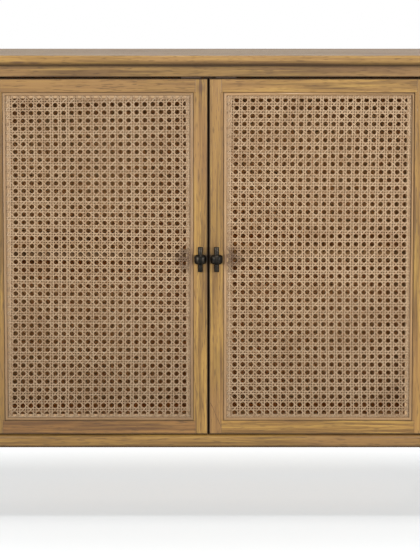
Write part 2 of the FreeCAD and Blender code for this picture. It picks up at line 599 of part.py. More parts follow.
doc.recompute()
failed = [thing.Label for thing in doc.Objects if "Invalid" in thing.State or "Error" in thing.State]
failed += [piece.Label for piece in nodes if piece.Shape.isNull() or not piece.Shape.isValid()]
if failed:
    raise RuntimeError("these pieces failed: " + ", ".join(failed))
os.makedirs("parts", exist_ok=True)
for piece in nodes:
    piece.Shape.exportStep(f"parts/{piece.Label}.step")
print(len(nodes), "nodes")
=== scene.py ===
import bmesh
import bpy
import json
import math
import random
from mathutils import Matrix, Vector


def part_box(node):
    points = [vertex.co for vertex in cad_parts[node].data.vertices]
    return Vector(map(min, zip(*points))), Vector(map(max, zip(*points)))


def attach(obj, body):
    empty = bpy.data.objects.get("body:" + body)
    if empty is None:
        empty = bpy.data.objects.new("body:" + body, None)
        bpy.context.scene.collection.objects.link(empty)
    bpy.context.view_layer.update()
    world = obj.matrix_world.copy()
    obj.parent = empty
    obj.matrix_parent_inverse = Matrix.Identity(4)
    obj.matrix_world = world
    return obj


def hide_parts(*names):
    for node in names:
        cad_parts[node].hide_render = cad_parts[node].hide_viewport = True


# Looks of a record cabinet: oak case, woven cane doors, blackened iron knobs.
# Metres, doors face -Y, floor at z = 0.

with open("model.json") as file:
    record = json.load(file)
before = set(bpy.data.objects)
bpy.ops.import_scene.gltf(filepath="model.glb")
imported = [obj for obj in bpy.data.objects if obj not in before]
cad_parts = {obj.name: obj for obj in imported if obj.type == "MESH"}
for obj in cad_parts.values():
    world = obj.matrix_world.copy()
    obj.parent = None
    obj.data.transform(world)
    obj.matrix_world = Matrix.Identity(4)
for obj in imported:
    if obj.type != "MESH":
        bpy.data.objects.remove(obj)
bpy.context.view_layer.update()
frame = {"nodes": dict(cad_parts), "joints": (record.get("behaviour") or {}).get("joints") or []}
nodes = frame["nodes"]
mm = 0.001
print("frame loaded:", len(nodes), "nodes")


# Tools shared by the materials

def linear(hexColour):
    parts = [int(hexColour[i:i + 2], 16) / 255 for i in (1, 3, 5)]
    return [c / 12.92 if c <= 0.04045 else ((c + 0.055) / 1.055) ** 2.4 for c in parts] + [1.0]


def addNode(tree, kind, inputs, **settings):
    # each input is a plain value, or the node or socket that feeds it
    made = tree.nodes.new("ShaderNode" + kind)
    for name, value in settings.items():
        setattr(made, name, value)
    for name, given in inputs.items():
        if isinstance(given, bpy.types.Node):
            given = given.outputs[0]
        if isinstance(given, bpy.types.NodeSocket):
            tree.links.new(given, made.inputs[name])
        else:
            made.inputs[name].default_value = given
    return made


def newMaterial(name, **surface):
    # surface holds what is the same all over, set on the shader itself
    material = bpy.data.materials.new(name)
    material.use_nodes = True
    shader = material.node_tree.nodes["Principled BSDF"]
    for socket, value in surface.items():
        shader.inputs[socket.replace("_", " ")].default_value = value
    return material, material.node_tree, shader


# Woods. Sizes of patterns are across the grain and along it, lacquer is a span of roughness.
woods = {
    # oak, planed, stained honey brown, satin lacquer: long soft figure, short dark pores along the grain,
    # darker arrises, corners, seams and gaps, partly dark glaze wiped in and partly painted shade, a low
    # sheen
    "oak": {
        "deep": "#6f4f22", "honey": "#a37b3c", "pale": "#c29a4c", "rosy": "#9a7142",
        "pore": "#523718", "glaze": "#2a1a0a", "knot": "#553519", "bare": "#bb9972",
        "figure": (16 * mm, 340 * mm), "streak": (3.4 * mm, 190 * mm),
        "pores": (2.0 * mm, 24 * mm),      # real pores are 0.3 mm wide: drawn coarser so that they show
        "patch": (140 * mm, 280 * mm), "lacquer": (0.52, 0.40), "poreDepth": 0.25 * mm, "sanded": 0.7 * mm,
    },
    # oak without stain, for the boards inside: the same figure, paler and warmer
    "paleOak": {
        "deep": "#e0ab63", "honey": "#eebd79", "pale": "#f5ca8d", "rosy": "#e9b371",
        "pore": "#b98f5a", "glaze": "#6e4a20",
        "figure": (20 * mm, 380 * mm), "streak": (3.8 * mm, 200 * mm),
        "pores": (2.0 * mm, 26 * mm),
        "patch": (160 * mm, 320 * mm), "lacquer": (0.60, 0.50), "poreDepth": 0.2 * mm, "sanded": 0.7 * mm,
    },
    # oak-faced plywood, rotary cut: wide wavy figure, few pores, dull
    "plywood": {
        "deep": "#e2af69", "honey": "#efc07d", "pale": "#f5cd91", "rosy": "#ebb877",
        "pore": "#c79d68", "glaze": "#8a6538",
        "figure": (30 * mm, 260 * mm), "streak": (5.0 * mm, 150 * mm),
        "pores": (1.8 * mm, 18 * mm),
        "patch": (180 * mm, 360 * mm), "lacquer": (0.65, 0.55), "poreDepth": 0.1 * mm, "sanded": 0.3 * mm,
    },
    # rattan reed, peeled and pressed into the rebate: tan like the cane, fine long fibres, painted shade
    # along both edges
    "reed": {
        "deep": "#8f6e45", "honey": "#a38057", "pale": "#b69268", "rosy": "#9f7b53",
        "pore": "#745635", "glaze": "#3a2410",
        "figure": (4.0 * mm, 260 * mm), "streak": (1.5 * mm, 120 * mm),
        "pores": (1.2 * mm, 40 * mm),
        "patch": (90 * mm, 180 * mm), "lacquer": (0.50, 0.38), "poreDepth": 0.1 * mm, "sanded": 0.3 * mm,
    },
}
# oak that took the stain redder: the same surface in russet brown
woods["russetOak"] = dict(woods["oak"], deep="#6f4a22", honey="#a3743c", pale="#c0914b", rosy="#9c6b44")

# noise of each pattern in a wood: shift of its seed, detail and distortion
patterns = {"figure": (0, 4.0, 0.6), "streak": (3, 3.0, 0.3), "pores": (7, 1.0, 0.0), "patch": (11, 1.0, 0.0)}
# colours over the deep one: the pattern that each follows, where in its noise it starts and is full, strength
layers = {"honey": ("figure", 0.36, 0.62, 1.0), "pale": ("streak", 0.46, 0.70, 0.6),
          "rosy": ("patch", 0.45, 0.65, 0.5), "pore": ("pores", 0.56, 0.70, 0.55)}
noiseSpan = (0.3, 0.7)           # nearly all values of the noise lie in here
soft = {"interpolation_type": "SMOOTHSTEP"}
# how far the darkening reaches from an edge, and how strong it is there: partly dark glaze, partly painted
# shade
# arris: dark glaze along every edge of a face, which also paints the shade of seams and corners;
# seam, rim, beadOuter and beadInner: painted shade round the beads, along the doors' rims and both bead edges
glazeAndShadeReach = {"arris": (2.0 * mm, 0.5), "seam": (1.8 * mm, 0.55), "rim": (2.8 * mm, 0.95),
          "beadOuter": (1.0 * mm, 0.6), "beadInner": (1.0 * mm, 0.5)}
woodMarks = {
    "glazeDull": 0.35,           # where the glaze and painted shade are full, the surface is this much rougher than the lacquer
    "levelFace": (0.7, 0.98),    # Z of a normal from which a face counts as level, and where it does in full
    "bareLedge": (0.4 * mm, 0.9),    # blur of its edge, strength
    "crack": (6, 0.3, 0.8),      # wander and dark core, in widths, strength
    # knots: raggedness, where one starts to fade and ends, in reaches, and strength; shape by grain
    "knot": (0.5, 0.4, 1.1, 0.72), "knotShape": {"x": (0.16, 0, 1), "z": (1, 0, 0.7)},
}
# painted shadow of the knobs, on the cane beside them and on the stiles between their collars: half the width
# and height of each place, its middle, counted from the knob away from the other door, and the tone that it
# takes there
knobShadowPaint = {"cane": {"reach": (34 * mm, 37 * mm), "aside": 27 * mm, "tone": (0.48, 0.41, 0.37, 1.0)},
           "stile": {"reach": (13 * mm, 16 * mm), "aside": -13 * mm, "tone": (0.16, 0.13, 0.12, 1.0)}}


def grainPattern(tree, coords, grain, size, seed, detail, wander):
    # stretched noise: size is its width across the grain and its length along it
    stretch = [1 / (size[1] if axis == grain else size[0]) for axis in "xyz"]
    shift = [seed, seed * 1.7, seed * 0.6]
    mapped = addNode(tree, "Mapping", {"Vector": coords, "Scale": stretch, "Location": shift})
    return addNode(tree, "TexNoise", {"Vector": mapped, "Scale": 1.0, "Detail": detail, "Roughness": 0.6,
                                      "Distortion": wander}).outputs["Fac"]


def awayFromMiddle(tree, coords, low, high):
    # distance from the middle of a box along each axis
    away = addNode(tree, "VectorMath", {0: coords, 1: (low + high) / 2}, operation="SUBTRACT")
    return addNode(tree, "VectorMath", {0: away}, operation="ABSOLUTE")


def depthInFace(tree, coords, low, high):
    # distance from the nearest edge of the box's face that a point is on
    away = awayFromMiddle(tree, coords, low, high)
    depth = addNode(tree, "VectorMath", {0: (high - low) / 2, 1: away}, operation="SUBTRACT")
    normal = addNode(tree, "TexCoord", {}).outputs["Normal"]
    looks = addNode(tree, "VectorMath", {0: normal}, operation="ABSOLUTE")
    depth = addNode(tree, "VectorMath", {0: depth, 1: looks}, operation="ADD")   # the way it looks counts out
    parts = addNode(tree, "SeparateXYZ", {0: depth}).outputs
    least = addNode(tree, "Math", {0: parts[0], 1: parts[1]}, operation="MINIMUM")
    return addNode(tree, "Math", {0: least, 1: parts[2]}, operation="MINIMUM")


def distanceRound(tree, coords, low, high):
    # distance outside a box, seen from the front
    away = awayFromMiddle(tree, coords, low, high)
    away = addNode(tree, "VectorMath", {0: away, 1: (high - low) / 2}, operation="SUBTRACT")
    parts = addNode(tree, "SeparateXYZ", {0: away}).outputs
    return addNode(tree, "Math", {0: parts[0], 1: parts[2]}, operation="MAXIMUM")


def paintKnobShadow(tree, coords, side, place):
    # darker in an oval beside the knob: its painted shadow
    low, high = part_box(side + "_knob_bar")
    knobAt = (low + high) / 2
    mark = knobShadowPaint[place]
    middle = knobAt + Vector((math.copysign(1, knobAt.x) * mark["aside"], 0, 0))
    away = addNode(tree, "VectorMath", {0: coords, 1: middle}, operation="SUBTRACT")
    shape = (1 / mark["reach"][0], 0, 1 / mark["reach"][1])
    away = addNode(tree, "VectorMath", {0: away, 1: shape}, operation="MULTIPLY")
    away = addNode(tree, "VectorMath", {0: away}, operation="LENGTH").outputs["Value"]
    amount = addNode(tree, "MapRange", {0: away, 3: 1.0, 4: 0.0}, **soft)
    return amount, mark["tone"], "MULTIPLY"


def layCoats(tree, shader, colour, coats, rough, bump):
    # lays coats over a colour, each by its amount, colour and blend, and feeds the shader
    for amount, coat, blend in coats:
        colour = addNode(tree, "Mix", {0: amount, 6: colour, 7: coat}, data_type="RGBA",
                         blend_type=blend).outputs[2]
    feeds = {"Base Color": colour, "Roughness": rough.outputs[0], "Normal": bump.outputs[0]}
    for socket, feed in feeds.items():
        tree.links.new(feed, shader.inputs[socket])


def makeWood(name, wood, grain, tone, seed, edges=None, outlines=(), shaded=(), sticks=None, knots=(),
             cracks=(), ledge=None, levelFaceShade=1.0, fade=None, hands=None):
    look = woods[wood]
    material, tree, shader = newMaterial(name, IOR=1.5)
    coords = addNode(tree, "TexCoord", {}).outputs["Object"]
    run = coords
    # places coloured inward from an edge by stain, glaze and painted shade: depth from the edge, reach,
    # strength and colour
    stainsAndShade = []
    # dark glaze along every edge of a face, partly painted shade of seams and corners
    if edges:
        stainsAndShade.append((depthInFace(tree, coords, *edges), *glazeAndShadeReach["arris"], look["glaze"]))
    for low, high, reach, strength in outlines:
        around = addNode(tree, "Math", {0: distanceRound(tree, coords, low, high)}, operation="ABSOLUTE")
        stainsAndShade.append((around, reach, strength, look["glaze"]))
    for axis, start, reach, strength, stain in shaded:
        along = addNode(tree, "SeparateXYZ", {0: coords}).outputs[axis]
        depth = addNode(tree, "Math", {0: along, 1: start}, operation="SUBTRACT")
        stainsAndShade.append((depth, reach, strength, stain))
    if sticks:
        # four sticks round an opening: X and Z change places on the upright ones
        low, high, width = sticks
        away = awayFromMiddle(tree, coords, low, high)
        inward = addNode(tree, "VectorMath", {0: (high - low) / 2, 1: away}, operation="SUBTRACT")
        inward = addNode(tree, "SeparateXYZ", {0: inward}).outputs
        upright = addNode(tree, "Math", {0: inward[0], 1: inward[2]}, operation="LESS_THAN")
        parts = addNode(tree, "SeparateXYZ", {0: coords}).outputs
        turned = addNode(tree, "CombineXYZ", {0: parts[2], 1: parts[1], 2: parts[0]})
        run = addNode(tree, "Mix", {0: upright, 4: coords, 5: turned}, data_type="VECTOR").outputs[1]
        outer = addNode(tree, "Math", {0: inward[0], 1: inward[2]}, operation="MINIMUM")
        inner = addNode(tree, "Math", {0: width, 1: outer}, operation="SUBTRACT")
        # painted shade along both edges of a bead
        for depth, edge in ((outer, "beadOuter"), (inner, "beadInner")):
            stainsAndShade.append((depth, *glazeAndShadeReach[edge], look["glaze"]))

    # the wood itself, from the deepest colour up
    noise = {kind: grainPattern(tree, run, grain, look[kind], seed + shift, detail, wander)
             for kind, (shift, detail, wander) in patterns.items()}
    coats = []
    for stain, (kind, start, full, strength) in layers.items():
        amount = addNode(tree, "MapRange", {0: noise[kind], 1: start, 2: full, 4: strength}, **soft)
        coats.append((amount, linear(look[stain]), "MIX"))
    for x, z, reach in knots:
        # a soft knot on the front face, longer along the grain, with a ragged rim
        ragged, start, end, strength = woodMarks["knot"]
        shape = woodMarks["knotShape"][grain]
        away = addNode(tree, "VectorMath", {0: coords, 1: (x, 0, z)}, operation="SUBTRACT")
        away = addNode(tree, "VectorMath", {0: away, 1: shape}, operation="MULTIPLY")
        away = addNode(tree, "VectorMath", {0: away}, operation="LENGTH").outputs["Value"]
        away = addNode(tree, "Math", {0: noise["streak"], 1: ragged * reach, 2: away},
                       operation="MULTIPLY_ADD")
        amount = addNode(tree, "MapRange", {0: away, 1: start * reach, 2: end * reach, 3: strength, 4: 0.0},
                         **soft)
        coats.append((amount, linear(look["knot"]), "MIX"))
    for x, z, endX, endZ, width in cracks:
        # a hairline crack from one point to another, wandering a little
        way = Vector((endX - x, 0, endZ - z))
        half = way.length / 2
        ahead = way / way.length
        across = (ahead.z, 0, -ahead.x)
        wander, core, strength = woodMarks["crack"]
        wander *= width
        away = addNode(tree, "VectorMath", {0: coords, 1: (x, 0, z)}, operation="SUBTRACT")
        along = addNode(tree, "VectorMath", {0: away, 1: ahead}, operation="DOT_PRODUCT").outputs["Value"]
        aside = addNode(tree, "VectorMath", {0: away, 1: across}, operation="DOT_PRODUCT").outputs["Value"]
        aside = addNode(tree, "Math", {0: noise["figure"], 1: wander, 2: aside}, operation="MULTIPLY_ADD")
        aside = addNode(tree, "Math", {0: aside, 1: wander / 2}, operation="SUBTRACT")
        aside = addNode(tree, "Math", {0: aside}, operation="ABSOLUTE")
        thin = addNode(tree, "MapRange", {0: aside, 1: core * width, 2: width, 3: strength, 4: 0.0}, **soft)
        within = addNode(tree, "Math", {0: along, 1: half, 2: half}, operation="COMPARE")
        amount = addNode(tree, "Math", {0: thin, 1: within}, operation="MULTIPLY")
        coats.append((amount, linear(look["knot"]), "MIX"))

    # lighter and darker boards, painted shade on level faces, darker towards the feet
    coats.append((1.0, [tone, tone, tone, 1.0], "MULTIPLY"))
    if levelFaceShade < 1:
        # painted shade: a level face made darker
        normal = addNode(tree, "TexCoord", {}).outputs["Normal"]
        level = addNode(tree, "SeparateXYZ", {0: normal}).outputs[2]
        start, full = woodMarks["levelFace"]
        levelShaded = addNode(tree, "MapRange", {0: level, 1: start, 2: full, 3: 1.0, 4: levelFaceShade})
        coats.append((1.0, levelShaded, "MULTIPLY"))
    if fade:
        # darker towards the foot; on the beads and the back panel this is painted shade, like the cane's
        height = addNode(tree, "SeparateXYZ", {0: coords}).outputs[2]
        foot = addNode(tree, "MapRange", {0: height, 1: fade[0], 2: fade[1], 3: fade[2], 4: 1.0})
        coats.append((1.0, foot, "MULTIPLY"))
    if ledge:
        # under the cane the wood was left unstained
        low, high, width = ledge
        inside = distanceRound(tree, coords, low, high)
        blur, strength = woodMarks["bareLedge"]
        start, end = -width - blur, -width + blur
        amount = addNode(tree, "MapRange", {0: inside, 1: start, 2: end, 3: strength, 4: 0.0})
        coats.append((amount, linear(look["bare"]), "MIX"))

    # stain, glaze and painted shade on top, which dull the lacquer
    rough = addNode(tree, "MapRange", {0: noise["figure"], 1: noiseSpan[0], 2: noiseSpan[1],
                                       3: look["lacquer"][0], 4: look["lacquer"][1]})
    for depth, reach, strength, stain in stainsAndShade:
        amount = addNode(tree, "MapRange", {0: depth, 1: 0.0, 2: reach, 3: strength, 4: 0.0}, **soft)
        coats.append((amount, linear(stain), "MIX"))
        rough = addNode(tree, "Math", {0: amount, 1: woodMarks["glazeDull"], 2: rough},
                        operation="MULTIPLY_ADD", use_clamp=True)
    # painted shadow of the knob
    if hands:
        coats.append(paintKnobShadow(tree, coords, *hands))
    kind, start, full, strength = layers["pore"]
    hollow = addNode(tree, "MapRange", {0: noise[kind], 1: start, 2: full}, **soft)
    bump = addNode(tree, "Bump", {"Strength": 0.6, "Distance": look["poreDepth"], "Height": hollow},
                   invert=True)
    layCoats(tree, shader, linear(look["deep"]), coats, rough, bump)
    return material


# Rattan cane, split to flat strands with the skin outside, woven wet and stained tan:
# glossy pale crowns, fine fibres along each strand, no two strands of quite the same tone.
caneSkin = {
    "pale": "#caab87", "tan": "#a5815b", "shade": "#93704d", "edge": "#5a4126",
    "fibre": (0.5 * mm, 45 * mm),      # real fibres are 0.1 mm wide: drawn coarser so that they show
    "blotch": (70 * mm, 70 * mm),
    "ownTone": 0.55,                   # how much a strand's own tone counts beside its fibres
    "paleFrom": (0.35, 1.0),           # where in the noise the pale starts and is full
    "shadeFrom": (0.5, 0.75, 0.35),    # the same for the shaded blotches, and their strength
    "edgeFrom": (0.45, 0.7),           # where the dark edge starts, in half widths, and its strength
    # painted shade: the cane grows darker towards its foot
    "footTone": 0.72,                  # the lower rows are this much darker than the upper ones
    "gloss": (0.50, 0.34),
}


def makeCane(name, side, low, high, seed):
    material, tree, shader = newMaterial(name, IOR=1.5)
    place = addNode(tree, "Attribute", {}, attribute_name="strandPlace").outputs["Vector"]
    strand = addNode(tree, "Attribute", {}, attribute_name="strandTone").outputs["Fac"]
    coords = addNode(tree, "TexCoord", {}).outputs["Object"]
    fibre = grainPattern(tree, place, "y", caneSkin["fibre"], seed, 2.0, 0.0)
    blotch = grainPattern(tree, coords, "x", caneSkin["blotch"], seed + 4, 2.0, 0.0)
    streaked = addNode(tree, "Math", {0: strand, 1: caneSkin["ownTone"], 2: fibre}, operation="MULTIPLY_ADD")
    start, full = caneSkin["paleFrom"]
    pale = addNode(tree, "MapRange", {0: streaked, 1: start, 2: full}, **soft)
    start, full, strength = caneSkin["shadeFrom"]
    shaded = addNode(tree, "MapRange", {0: blotch, 1: start, 2: full, 4: strength}, **soft)
    # stain gathers along both edges of a strand
    half = cane["halfWidth"]
    start, strength = caneSkin["edgeFrom"]
    aside = addNode(tree, "Math", {0: addNode(tree, "SeparateXYZ", {0: place})}, operation="ABSOLUTE")
    edged = addNode(tree, "MapRange", {0: aside, 1: start * half, 2: half, 4: strength})
    # painted shade, darker towards the foot
    height = addNode(tree, "SeparateXYZ", {0: coords}).outputs[2]
    middle = (low.z + high.z) / 2
    tone = cane[side]["tone"]
    dim = tone * caneSkin["footTone"]
    faded = addNode(tree, "MapRange", {0: height, 1: low.z, 2: middle, 3: dim, 4: tone})
    # the last coat is the knob's painted shadow
    coats = [(pale, linear(caneSkin["pale"]), "MIX"), (shaded, linear(caneSkin["shade"]), "MIX"),
             (edged, linear(caneSkin["edge"]), "MIX"), (1.0, faded, "MULTIPLY"),
             paintKnobShadow(tree, coords, side, "cane")]
    rough = addNode(tree, "MapRange", {0: fibre, 3: caneSkin["gloss"][0], 4: caneSkin["gloss"][1]})
    bump = addNode(tree, "Bump", {"Strength": 0.3, "Distance": 0.1 * mm, "Height": fibre})
    layCoats(tree, shader, linear(caneSkin["tan"]), coats, rough, bump)
    return material


# Metals and plastics: a colour pair mixed by cloudy wear, with a grit in the roughness and bump.
# wear and grit are sizes of the clouds and of the grain.
finishes = {
    # cast iron, tumbled and blackened, waxed: near black with brown-grey rubbed places and a soft gleam
    "blackenedIron": {"colours": ("#1b1a18", "#332e28"), "metallic": 1.0, "rough": (0.34, 0.52),
                      "wear": 9 * mm, "grit": 0.9 * mm, "depth": 0.05 * mm},
    # steel leaf hinges, stamped and bronzed: dark brown with worn edges
    "bronzedSteel": {"colours": ("#4a3a28", "#6d5639"), "metallic": 1.0, "rough": (0.32, 0.46),
                     "wear": 8 * mm, "grit": 0.8 * mm, "depth": 0.03 * mm},
    # steel, zinc plated: cold grey with a faint spangle
    "zincSteel": {"colours": ("#a4a6a6", "#c4c4c0"), "metallic": 1.0, "rough": (0.26, 0.40),
                  "wear": 6 * mm, "grit": 1.0 * mm, "depth": 0.02 * mm},
    # ABS, moulded brown: even colour, faintly grained by the mould
    "mouldedAbs": {"colours": ("#4a3524", "#523b28"), "metallic": 0.0, "rough": (0.42, 0.55),
                   "wear": 30 * mm, "grit": 0.7 * mm, "depth": 0.05 * mm},
    # ferrite, pressed and sintered: charcoal grey and matt, with a sandy grain
    "sinteredFerrite": {"colours": ("#2b2b2d", "#3a3a3c"), "metallic": 0.0, "rough": (0.55, 0.72),
                        "wear": 5 * mm, "grit": 0.6 * mm, "depth": 0.05 * mm},
    # nylon, moulded black: waxy, scuffed pale where it meets the floor
    "mouldedNylon": {"colours": ("#1d1c1b", "#322f2c"), "metallic": 0.0, "rough": (0.38, 0.58),
                     "wear": 7 * mm, "grit": 0.6 * mm, "depth": 0.04 * mm},
}

wearFrom = (0.4, 0.68)           # where in the noise the rubbed colour starts and is full


def makeFinish(name, seed):
    look = finishes[name]
    material, tree, shader = newMaterial(name, Metallic=look["metallic"])
    coords = addNode(tree, "TexCoord", {}).outputs["Object"]
    wear = grainPattern(tree, coords, "x", (look["wear"], look["wear"]), seed, 3.0, 0.0)
    grit = grainPattern(tree, coords, "x", (look["grit"], look["grit"]), seed + 5, 1.0, 0.0)
    amount = addNode(tree, "MapRange", {0: wear, 1: wearFrom[0], 2: wearFrom[1]}, **soft)
    dark, light = (linear(colour) for colour in look["colours"])
    rough = addNode(tree, "MapRange", {0: grit, 1: noiseSpan[0], 2: noiseSpan[1],
                                       3: look["rough"][0], 4: look["rough"][1]})
    bump = addNode(tree, "Bump", {"Strength": 0.4, "Distance": look["depth"], "Height": grit})
    layCoats(tree, shader, dark, [(amount, light, "MIX")], rough, bump)
    return material


finish = {name: makeFinish(name, 2.0 * i) for i, name in enumerate(finishes)}
print("materials ready")


# Tools shared by the meshes

def addTurned(bm, place, profile, around):
    # turns (radius, height) points about the local Z of place; a radius of 0 closes an end
    rings = []
    for radius, height in profile:
        angles = [0.0] if radius == 0 else [2 * math.pi * i / around for i in range(around)]
        rings.append([bm.verts.new(place @ Vector((radius * math.cos(a), radius * math.sin(a), height)))
                      for a in angles])
    for below, above in zip(rings, rings[1:]):
        for i in range(around):
            j = (i + 1) % around
            corners = [ring[k % len(ring)] for ring, k in ((below, i), (below, j), (above, j), (above, i))]
            bm.faces.new(list(dict.fromkeys(corners)))


def easedRod(radius, length, ease):
    # profile of a plain rod with eased ends
    return [(0, 0), (radius - ease, 0), (radius, ease), (radius, length - ease), (radius - ease, length),
            (0, length)]


def addBlock(bm, low, high, ease):
    # a block with eased edges
    made = bmesh.ops.create_cube(bm, size=1.0)
    size = Vector(high) - Vector(low)
    centre = (Vector(high) + Vector(low)) / 2
    for vert in made["verts"]:
        vert.co = Vector(c * s for c, s in zip(vert.co, size)) + centre
    edges = list({edge for vert in made["verts"] for edge in vert.link_edges})
    bmesh.ops.bevel(bm, geom=edges, offset=ease, segments=2, affect="EDGES", profile=0.5)


def facing(centre, direction):
    # a place whose local Z looks along direction
    turn = Vector(direction).to_track_quat("Z", "Y").to_matrix().to_4x4()
    return Matrix.Translation(centre) @ turn


def solidsOf(node):
    # corner lists of the separate solids in a CAD node
    bm = bmesh.new()
    bm.from_mesh(nodes[node].data)
    bmesh.ops.remove_doubles(bm, verts=bm.verts, dist=1e-6)
    left = set(bm.verts)
    found = []
    while left:
        todo = [left.pop()]
        group = []
        while todo:
            vert = todo.pop()
            group.append(vert.co.copy())
            for edge in vert.link_edges:
                other = edge.other_vert(vert)
                if other in left:
                    left.discard(other)
                    todo.append(other)
        found.append(group)
    bm.free()
    return sorted(found, key=lambda group: [round(c, 4) for c in sum(group, Vector()) / len(group)])


def boxOf(points):
    low = Vector(min(p[i] for p in points) for i in range(3))
    high = Vector(max(p[i] for p in points) for i in range(3))
    return low, high


def addObject(name, data):
    made = bpy.data.objects.new(name, data)
    bpy.context.scene.collection.objects.link(made)
    return made


def newPiece(name, bm, body, material, *standsFor, crease=35):
    bmesh.ops.recalc_face_normals(bm, faces=bm.faces)
    mesh = bpy.data.meshes.new(name)
    bm.to_mesh(mesh)
    bm.free()
    mesh.shade_smooth()
    mesh.set_sharp_from_angle(angle=math.radians(crease))
    mesh.materials.append(material)
    piece = addObject(name, mesh)
    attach(piece, body)
    if standsFor:
        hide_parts(*standsFor)
    return piece


def dress(node, material):
    # one material over a CAD node's own shape
    slots = nodes[node].material_slots
    for slot in slots:
        slot.material = material
    if not slots:
        nodes[node].data.materials.append(material)


def easeEdges(node, width):
    # sanded arrises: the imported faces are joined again, then their corners are rounded
    made = nodes[node].modifiers.new("joined", "WELD")
    made.merge_threshold = 0.005 * mm
    made = nodes[node].modifiers.new("plain faces", "DECIMATE")
    made.decimate_type = "DISSOLVE"
    made.angle_limit = math.radians(0.5)
    made = nodes[node].modifiers.new("sanded", "BEVEL")
    made.width = width
    made.segments = 2
    made.limit_method = "ANGLE"
    made.angle_limit = math.radians(40)


# Boards: wood, grain axis and tone of each one
boards = {
    "top_board": ("oak", "x", 0.98),
    # the front rails' low tones are partly painted shade: under the top's overhang, and low down at the foot
    "front_top_rail": ("oak", "x", 0.78), "front_bottom_rail": ("oak", "x", 0.83),
    "back_top_rail": ("oak", "x", 0.95), "back_bottom_rail": ("oak", "x", 0.92),
    "left_front_post": ("oak", "z", 0.98), "right_front_post": ("oak", "z", 1.0),
    "left_back_post": ("oak", "z", 0.94), "right_back_post": ("oak", "z", 0.97),
    "left_side_top_rail": ("oak", "y", 1.0), "right_side_top_rail": ("oak", "y", 0.96),
    "left_side_bottom_rail": ("oak", "y", 0.93), "right_side_bottom_rail": ("oak", "y", 0.98),
    "left_side_panel": ("oak", "z", 1.02), "right_side_panel": ("oak", "z", 1.0),
    "left_front_leg": ("oak", "z", 0.93), "right_front_leg": ("oak", "z", 0.96),
    "left_back_leg": ("oak", "z", 0.95), "right_back_leg": ("oak", "z", 0.92),
    "left_door_top_rail": ("oak", "x", 0.91), "right_door_top_rail": ("oak", "x", 1.01),
    "left_door_bottom_rail": ("russetOak", "x", 0.70), "right_door_bottom_rail": ("oak", "x", 1.08),
    "left_door_meeting_stile": ("oak", "z", 0.99), "right_door_meeting_stile": ("oak", "z", 0.97),
    "left_door_hinge_stile": ("oak", "z", 1.03), "right_door_hinge_stile": ("oak", "z", 1.05),
    "left_door_beads": ("reed", "x", 0.95), "right_door_beads": ("reed", "x", 1.26),
    "centre_partition": ("paleOak", "z", 0.97), "left_shelf": ("paleOak", "x", 1.03),
    "right_shelf": ("paleOak", "x", 1.05),
    "bottom_board": ("plywood", "x", 0.85), "back_panel": ("plywood", "z", 1.0),
}
# soft knots on the front: x, z and reach
knots = {"left_door_meeting_stile": [(-15.0 * mm, 854.0 * mm, 14.0 * mm)],
         "top_board": [(-372 * mm, 904 * mm, 4.2 * mm), (-340 * mm, 903 * mm, 3.4 * mm)]}
# hairline cracks: x and z of both ends, and width
cracks = {"right_door_meeting_stile": [(4 * mm, 231 * mm, 31 * mm, 170 * mm, 0.8 * mm)]}
# stain and painted shade along one face of a board: the way the face looks, reach, strength and colour.
# Painted shade lies under the top's nose and along the front rails' edges below it, the front edges of the
# boards inside are painted dark as shade, the side panels are left bare inside.
glaze = woods["oak"]["glaze"]
faceStainsAndShade = {
    "top_board": [("-z", 12 * mm, 0.85, glaze)],
    "front_top_rail": [("+z", 7 * mm, 0.75, glaze), ("-z", 2.5 * mm, 0.9, glaze)],
    "front_bottom_rail": [("-z", 9 * mm, 0.95, glaze)],
    "left_shelf": [("-y", 2 * mm, 0.97, "#583b19")], "right_shelf": [("-y", 2 * mm, 0.97, "#674720")],
    "centre_partition": [("-y", 2 * mm, 1.0, "#33210f")],
    "left_side_panel": [("+x", 2 * mm, 0.72, "#f4cd92")],
    "right_side_panel": [("-x", 2 * mm, 0.72, "#f4cd92")],
}
# darker towards the foot: the share of the height that it takes, and the tone at the foot. On the beads and
# the back panel it is painted shade, like the cane's
footTones = {"left_door_beads": (0.5, 0.75), "right_door_beads": (0.5, 0.75), "back_panel": (0.5, 0.70),
             "left_door_hinge_stile": (1.0, 0.62)}
levelFaceShades = {"top_board": 0.65}   # painted shade: level faces made darker
beadWidth = 6 * mm
seedStep = 3.7                   # sets the boards' patterns apart

for i, (node, (wood, grain, tone)) in enumerate(boards.items()):
    side = node.split("_")[0]
    low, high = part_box(node)
    marks = {"knots": knots.get(node, ()), "cracks": cracks.get(node, ()), "levelFaceShade": levelFaceShades.get(node, 1.0),
             "shaded": []}
    for face, reach, strength, stain in faceStainsAndShade.get(node, ()):
        axis = "xyz".index(face[1])
        start, inward = (low[axis], reach) if face[0] == "-" else (high[axis], -reach)
        marks["shaded"].append((axis, start, inward, strength, stain))
    if node in footTones:
        share, footTone = footTones[node]
        marks["fade"] = (low.z, low.z + share * (high.z - low.z), footTone)
    # the knobs' painted shadow falls on the meeting stiles and on the beads
    if "meeting" in node:
        marks["hands"] = (side, "stile")
    if wood == "reed":
        marks["sticks"] = (low, high, beadWidth)
        marks["hands"] = (side, "cane")
    else:
        marks["edges"] = (low, high)
        if "_door_" in node:
            stiles = [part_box(side + "_door_" + end + "_stile") for end in ("hinge", "meeting")]
            rim = boxOf([corner for box in stiles for corner in box])
            # painted shade in the seam round the beads and along the doors' rims, dark like the gaps beside
            # them
            marks["outlines"] = [(*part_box(side + "_door_beads"), *glazeAndShadeReach["seam"]), (*rim, *glazeAndShadeReach["rim"])]
            marks["ledge"] = (*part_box(side + "_door_beads"), beadWidth)
    dress(node, makeWood(wood + "_" + node, wood, grain, tone, seedStep * i, **marks))
    easeEdges(node, woods[wood]["sanded"])
print("boards dressed:", len(boards))


